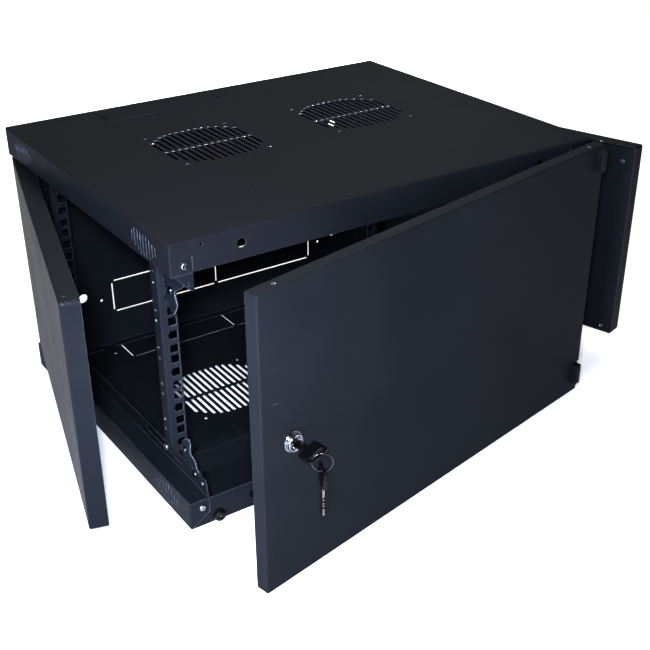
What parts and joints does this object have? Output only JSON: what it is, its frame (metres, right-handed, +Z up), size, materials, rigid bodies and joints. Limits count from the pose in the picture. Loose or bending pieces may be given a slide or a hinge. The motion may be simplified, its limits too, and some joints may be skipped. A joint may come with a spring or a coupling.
{
  "type": "wall mount network cabinet",
  "caption": "Low steel wall cabinet for rack equipment with a locking hinged front door, hinged side panels, punched mounting rails and fan grilles.",
  "frame": {"origin": "centre of the body's underside, midway between the sides and between the front and rear faces of the trays", "axes": "+X to the right seen from the front, +Y from the front to the wall side, +Z up"},
  "size_m": [0.7608, 0.6021, 0.327],
  "materials": {
    "powder_coat": "fine texture powder coat on 1.2 mm steel sheet",
    "catch_steel": "thin coat on pressed steel, bright at the edges",
    "zinc_screws": "zinc plated",
    "black_nuts": "black oxide",
    "chrome_lock": "polished chrome",
    "nickel": "nickel plated",
    "ring_steel": "bright spring steel",
    "plain_steel": "zinc plated steel",
    "key_plastic": "black moulded plastic",
    "black_hinge": "black cast zinc",
    "bumper_rubber": "black rubber"
  },
  "bodies": {
    "cabinet": {"bottom_left_catch_bracket": "catch_steel", "bottom_left_channel": "powder_coat", "bottom_panel": "powder_coat", "bottom_right_catch_bracket": "catch_steel", "bottom_right_channel": "powder_coat", "bracket_nuts": "black_nuts", "bracket_screws": "zinc_screws", "corner_screws": "zinc_screws", "door_bumper": "bumper_rubber", "front_left_rail": "powder_coat", "front_right_rail": "powder_coat", "hinge_screws": "zinc_screws", "lower_cross_member": "powder_coat", "lower_frame_hinge": "black_hinge", "rail_nuts": "black_nuts", "rail_screws": "zinc_screws", "rear_left_rail": "powder_coat", "rear_panel": "powder_coat", "rear_right_rail": "powder_coat", "top_left_catch_bracket": "catch_steel", "top_left_channel": "powder_coat", "top_panel": "powder_coat", "top_right_catch_bracket": "catch_steel", "top_right_channel": "powder_coat", "upper_cross_member": "powder_coat", "upper_frame_hinge": "black_hinge"},
    "door": {"door_leaf": "powder_coat", "upper_door_hinge": "black_hinge", "lower_door_hinge": "black_hinge", "door_hinge_pins": "plain_steel", "lock_barrel": "chrome_lock", "lock_nut": "nickel"},
    "lock_core": {"lock_core": "nickel", "lock_cam": "plain_steel", "cam_screw": "zinc_screws"},
    "key": {"key_head": "key_plastic", "key_blade": "nickel"},
    "key_ring": {"key_ring": "ring_steel"},
    "spare_key": {"spare_key_head": "key_plastic", "spare_key_blade": "nickel"},
    "left_side_panel": {"left_panel_skin": "powder_coat", "left_panel_pins": "plain_steel", "left_latch_guide": "plain_steel"},
    "right_side_panel": {"right_panel_skin": "powder_coat", "right_panel_pins": "plain_steel", "right_latch_guide": "plain_steel"},
    "left_latch": {"left_latch_bolt": "black_nuts"},
    "right_latch": {"right_latch_bolt": "black_nuts"}
  },
  "joints": [
    {"name": "door_hinge", "type": "hinge", "parent": "cabinet", "child": "door", "pos_m": [0.2732, -0.228, 0.1635], "axis": [0, 0, 1], "range_deg": [-11.9, 108.1]},
    {"name": "lock_turn", "type": "hinge", "parent": "door", "child": "lock_core", "pos_m": [-0.219, -0.3399, 0.163], "axis": [-0.2062, 0.9785, 0], "range_deg": [0, 90]},
    {"name": "key_slide", "type": "slide", "parent": "lock_core", "child": "key", "axis": [0.2062, -0.9785, 0], "range_m": [0, 0.024]},
    {"name": "ring_swing", "type": "hinge", "parent": "key", "child": "key_ring", "pos_m": [-0.21035, -0.37609, 0.157], "axis": [-0.5461, -0.8377, 0], "range_deg": [-20, 25]},
    {"name": "spare_key_swing", "type": "hinge", "parent": "key_ring", "child": "spare_key", "pos_m": [-0.21035, -0.37609, 0.1477], "axis": [0.8377, -0.5461, 0], "range_deg": [-25, 25]},
    {"name": "left_panel_hinge", "type": "hinge", "parent": "cabinet", "child": "left_side_panel", "pos_m": [-0.262, 0.203, 0.1635], "axis": [0, 0, 1], "range_deg": [-75.5, 14.5]},
    {"name": "right_panel_hinge", "type": "hinge", "parent": "cabinet", "child": "right_side_panel", "pos_m": [0.262, 0.203, 0.1635], "axis": [0, 0, 1], "range_deg": [-16.5, 73.5]},
    {"name": "left_latch_slide", "type": "slide", "parent": "left_side_panel", "child": "left_latch", "axis": [0, 0, 1], "range_m": [0, 0.005]},
    {"name": "right_latch_slide", "type": "slide", "parent": "right_side_panel", "child": "right_latch", "axis": [0, 0, 1], "range_m": [0, 0.005]}
  ]
}
